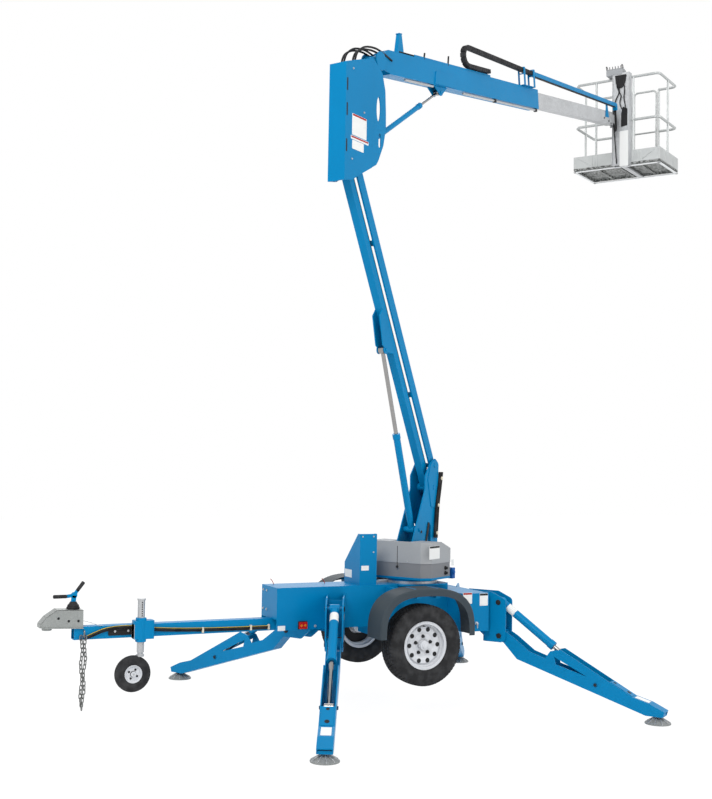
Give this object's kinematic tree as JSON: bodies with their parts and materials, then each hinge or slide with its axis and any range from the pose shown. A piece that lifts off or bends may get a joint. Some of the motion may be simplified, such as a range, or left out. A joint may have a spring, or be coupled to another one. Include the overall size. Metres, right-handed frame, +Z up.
{
  "type": "trailer mounted articulating boom lift",
  "caption": "Towable personnel lift: trailer with folding outriggers, slewing riser, parallel lower arms, elbow, telescopic upper boom and railed work platform.",
  "frame": {"origin": "on the floor, under the middle of the axle", "axes": "+X along the tongue to the hitch, +Y to the left side, +Z up"},
  "size_m": [8.2768, 5.1033, 7.04],
  "materials": {
    "aluminium": "dull aluminium tube and sheet",
    "battery": "battery blocks",
    "black_steel": "black painted steel",
    "blue_steel": "glossy blue paint",
    "chrome": "hard chromed cylinder rod",
    "dark_plastic": "dark grey moulded plastic",
    "galvanised": "galvanised steel",
    "grey_plastic": "light grey moulded cover",
    "rim": "white painted steel wheel",
    "tyre": "black rubber with road tread",
    "zinc": "zinc plated steel"
  },
  "bodies": {
    "base": {"chassis": "blue_steel", "outrigger_brackets": "blue_steel", "fenders": "dark_plastic", "axle": "blue_steel", "tongue": "blue_steel", "coupler": "black_steel", "coupler_latch": "black_steel", "jack": "zinc", "boom_rest": "blue_steel", "slew_ring": "zinc"},
    "wheel_left": {"tyre_left": "tyre", "wheel_left": "rim"},
    "wheel_right": {"tyre_right": "tyre", "wheel_right": "rim"},
    "jack_leg": {"jack_leg": "zinc"},
    "jack_fork": {"jack_fork": "zinc"},
    "jack_wheel": {"jack_wheel": "tyre"},
    "turntable": {"turntable_deck": "blue_steel", "turntable_tray": "dark_plastic", "turntable_hood": "grey_plastic", "battery_pack": "battery", "riser": "blue_steel"},
    "lower_boom": {"lower_boom": "blue_steel"},
    "level_link": {"level_link": "blue_steel"},
    "elbow": {"elbow_frame": "blue_steel", "elbow_cover": "blue_steel"},
    "lower_ram_barrel": {"lower_ram_barrel": "blue_steel"},
    "lower_ram_rod": {"lower_ram_rod": "chrome"},
    "upper_boom": {"upper_boom": "blue_steel"},
    "upper_ram_barrel": {"upper_ram_barrel": "blue_steel"},
    "upper_ram_rod": {"upper_ram_rod": "chrome"},
    "fly": {"fly_boom": "galvanised"},
    "platform": {"platform_mast": "galvanised", "platform_floor": "aluminium", "toe_boards": "aluminium", "platform_rails": "aluminium", "control_box": "grey_plastic"},
    "gate": {"platform_gate": "aluminium"},
    "leg_front_left": {"outrigger_arm_front_left": "blue_steel"},
    "leg_barrel_front_left": {"outrigger_barrel_front_left": "blue_steel"},
    "leg_rod_front_left": {"outrigger_rod_front_left": "chrome"},
    "leg_front_right": {"outrigger_arm_front_right": "blue_steel"},
    "leg_barrel_front_right": {"outrigger_barrel_front_right": "blue_steel"},
    "leg_rod_front_right": {"outrigger_rod_front_right": "chrome"},
    "leg_rear_left": {"outrigger_arm_rear_left": "blue_steel"},
    "leg_barrel_rear_left": {"outrigger_barrel_rear_left": "blue_steel"},
    "leg_rod_rear_left": {"outrigger_rod_rear_left": "chrome"},
    "leg_rear_right": {"outrigger_arm_rear_right": "blue_steel"},
    "leg_barrel_rear_right": {"outrigger_barrel_rear_right": "blue_steel"},
    "leg_rod_rear_right": {"outrigger_rod_rear_right": "chrome"}
  },
  "joints": [
    {"name": "wheel_spin_left", "type": "hinge", "parent": "base", "child": "wheel_left", "pos_m": [0, 0.605, 0.578], "axis": [0, 1, 0], "continuous": true},
    {"name": "wheel_spin_right", "type": "hinge", "parent": "base", "child": "wheel_right", "pos_m": [0, -0.605, 0.578], "axis": [0, 1, 0], "continuous": true},
    {"name": "jack_slide", "type": "slide", "parent": "base", "child": "jack_leg", "axis": [0, 0, -1], "range_m": [0, 0.245]},
    {"name": "jack_swivel", "type": "hinge", "parent": "jack_leg", "child": "jack_fork", "pos_m": [2.215, 0.105, 0.53], "axis": [0, 0, 1], "continuous": true},
    {"name": "jack_wheel_spin", "type": "hinge", "parent": "jack_fork", "child": "jack_wheel", "pos_m": [2.272, 0.105, 0.397], "axis": [0, 1, 0], "continuous": true},
    {"name": "slew", "type": "hinge", "parent": "base", "child": "turntable", "pos_m": [-0.234, 0, 1.045], "axis": [0, 0, 1], "range_deg": [-210.5, 148.5]},
    {"name": "lower_lift", "type": "hinge", "parent": "turntable", "child": "lower_boom", "pos_m": [-0.42686, -0.11588, 1.85], "axis": [0.515, -0.8572, 0], "range_deg": [-73.75, 4.25]},
    {"name": "link_swing", "type": "hinge", "parent": "turntable", "child": "level_link", "pos_m": [-0.43543, -0.12103, 2.046], "axis": [0.515, -0.8572, 0], "range_deg": [-74, 4.5]},
    {"name": "elbow_level", "type": "hinge", "parent": "lower_boom", "child": "elbow", "pos_m": [0.78014, 0.60935, 4.47065], "axis": [0.515, -0.8572, 0], "range_deg": [-4.5, 74]},
    {"name": "lower_ram_swing", "type": "hinge", "parent": "turntable", "child": "lower_ram_barrel", "pos_m": [-0.22029, 0.00824, 1.48], "axis": [0.515, -0.8572, 0], "range_deg": [-73.6, 4.52]},
    {"name": "lower_ram_slide", "type": "slide", "parent": "lower_ram_barrel", "child": "lower_ram_rod", "axis": [0.2807, 0.1687, 0.9449], "range_m": [-0.5318, 0.0325]},
    {"name": "upper_lift", "type": "hinge", "parent": "elbow", "child": "upper_boom", "pos_m": [0.41756, 0.39149, 5.43015], "axis": [0.515, -0.8572, 0], "range_deg": [-65.7, 29.3]},
    {"name": "upper_ram_swing", "type": "hinge", "parent": "elbow", "child": "upper_ram_barrel", "pos_m": [0.43041, 0.39922, 4.75215], "axis": [0.515, -0.8572, 0], "range_deg": [-43.09, 19.38]},
    {"name": "upper_ram_slide", "type": "slide", "parent": "upper_ram_barrel", "child": "upper_ram_rod", "axis": [-0.7188, -0.4319, 0.5449], "range_m": [-0.1908, 0.4253]},
    {"name": "boom_extend", "type": "slide", "parent": "upper_boom", "child": "fly", "axis": [-0.8459, -0.5083, 0.1616], "range_m": [-1.83, 0]},
    {"name": "platform_level", "type": "hinge", "parent": "fly", "child": "platform", "pos_m": [-4.26283, -2.42076, 6.33039], "axis": [0.515, -0.8572, 0], "range_deg": [-29.6, 66]},
    {"name": "gate_swing", "type": "hinge", "parent": "platform", "child": "gate", "pos_m": [-4.95696, -2.89034, 6.319], "axis": [0, 0, -1], "range_deg": [0, 95]},
    {"name": "leg_fold_front_left", "type": "hinge", "parent": "base", "child": "leg_front_left", "pos_m": [0.71311, 0.44405, 0.59], "axis": [0.891, -0.454, 0], "range_deg": [0, 95]},
    {"name": "leg_ram_swing_front_left", "type": "hinge", "parent": "base", "child": "leg_barrel_front_left", "pos_m": [0.70948, 0.43692, 0.875], "axis": [0.891, -0.454, 0], "range_deg": [-0.3, 102.1]},
    {"name": "leg_ram_slide_front_left", "type": "slide", "parent": "leg_barrel_front_left", "child": "leg_rod_front_left", "axis": [0.3704, 0.727, -0.5782], "range_m": [-0.4107, 0.002]},
    {"name": "leg_fold_front_right", "type": "hinge", "parent": "base", "child": "leg_front_right", "pos_m": [0.71311, -0.44405, 0.59], "axis": [-0.891, -0.454, 0], "range_deg": [0, 95]},
    {"name": "leg_ram_swing_front_right", "type": "hinge", "parent": "base", "child": "leg_barrel_front_right", "pos_m": [0.70948, -0.43692, 0.875], "axis": [-0.891, -0.454, 0], "range_deg": [-0.3, 102.1]},
    {"name": "leg_ram_slide_front_right", "type": "slide", "parent": "leg_barrel_front_right", "child": "leg_rod_front_right", "axis": [0.3704, -0.727, -0.5782], "range_m": [-0.4107, 0.002]},
    {"name": "leg_fold_rear_left", "type": "hinge", "parent": "base", "child": "leg_rear_left", "pos_m": [-0.89558, 0.43612, 0.59], "axis": [0.829, 0.5592, 0], "range_deg": [0, 95]},
    {"name": "leg_ram_swing_rear_left", "type": "hinge", "parent": "base", "child": "leg_barrel_rear_left", "pos_m": [-0.8911, 0.42949, 0.875], "axis": [0.829, 0.5592, 0], "range_deg": [-0.3, 102.1]},
    {"name": "leg_ram_slide_rear_left", "type": "slide", "parent": "leg_barrel_rear_left", "child": "leg_rod_rear_left", "axis": [-0.4562, 0.6764, -0.5782], "range_m": [-0.4107, 0.002]},
    {"name": "leg_fold_rear_right", "type": "hinge", "parent": "base", "child": "leg_rear_right", "pos_m": [-0.89558, -0.43612, 0.59], "axis": [-0.829, 0.5592, 0], "range_deg": [0, 95]},
    {"name": "leg_ram_swing_rear_right", "type": "hinge", "parent": "base", "child": "leg_barrel_rear_right", "pos_m": [-0.8911, -0.42949, 0.875], "axis": [-0.829, 0.5592, 0], "range_deg": [-0.3, 102.1]},
    {"name": "leg_ram_slide_rear_right", "type": "slide", "parent": "leg_barrel_rear_right", "child": "leg_rod_rear_right", "axis": [-0.4562, -0.6764, -0.5782], "range_m": [-0.4107, 0.002]}
  ],
  "couplings": [
    {"joint": "link_swing", "follows": "lower_lift", "ratio": 1},
    {"joint": "elbow_level", "follows": "lower_lift", "ratio": -1},
    {"joint": "lower_ram_swing", "follows": "lower_lift", "ratio": 0.99389},
    {"joint": "lower_ram_slide", "follows": "lower_lift", "m_per_rad": 0.41163},
    {"joint": "upper_ram_swing", "follows": "upper_lift", "ratio": 0.65123},
    {"joint": "upper_ram_slide", "follows": "upper_lift", "m_per_rad": -0.36916},
    {"joint": "platform_level", "follows": "upper_lift", "ratio": -1},
    {"joint": "leg_ram_swing_front_left", "follows": "leg_fold_front_left", "ratio": 1.0715},
    {"joint": "leg_ram_slide_front_left", "follows": "leg_fold_front_left", "m_per_rad": -0.24649},
    {"joint": "leg_ram_swing_front_right", "follows": "leg_fold_front_right", "ratio": 1.0715},
    {"joint": "leg_ram_slide_front_right", "follows": "leg_fold_front_right", "m_per_rad": -0.24649},
    {"joint": "leg_ram_swing_rear_left", "follows": "leg_fold_rear_left", "ratio": 1.0715},
    {"joint": "leg_ram_slide_rear_left", "follows": "leg_fold_rear_left", "m_per_rad": -0.24649},
    {"joint": "leg_ram_swing_rear_right", "follows": "leg_fold_rear_right", "ratio": 1.0715},
    {"joint": "leg_ram_slide_rear_right", "follows": "leg_fold_rear_right", "m_per_rad": -0.24649}
  ]
}
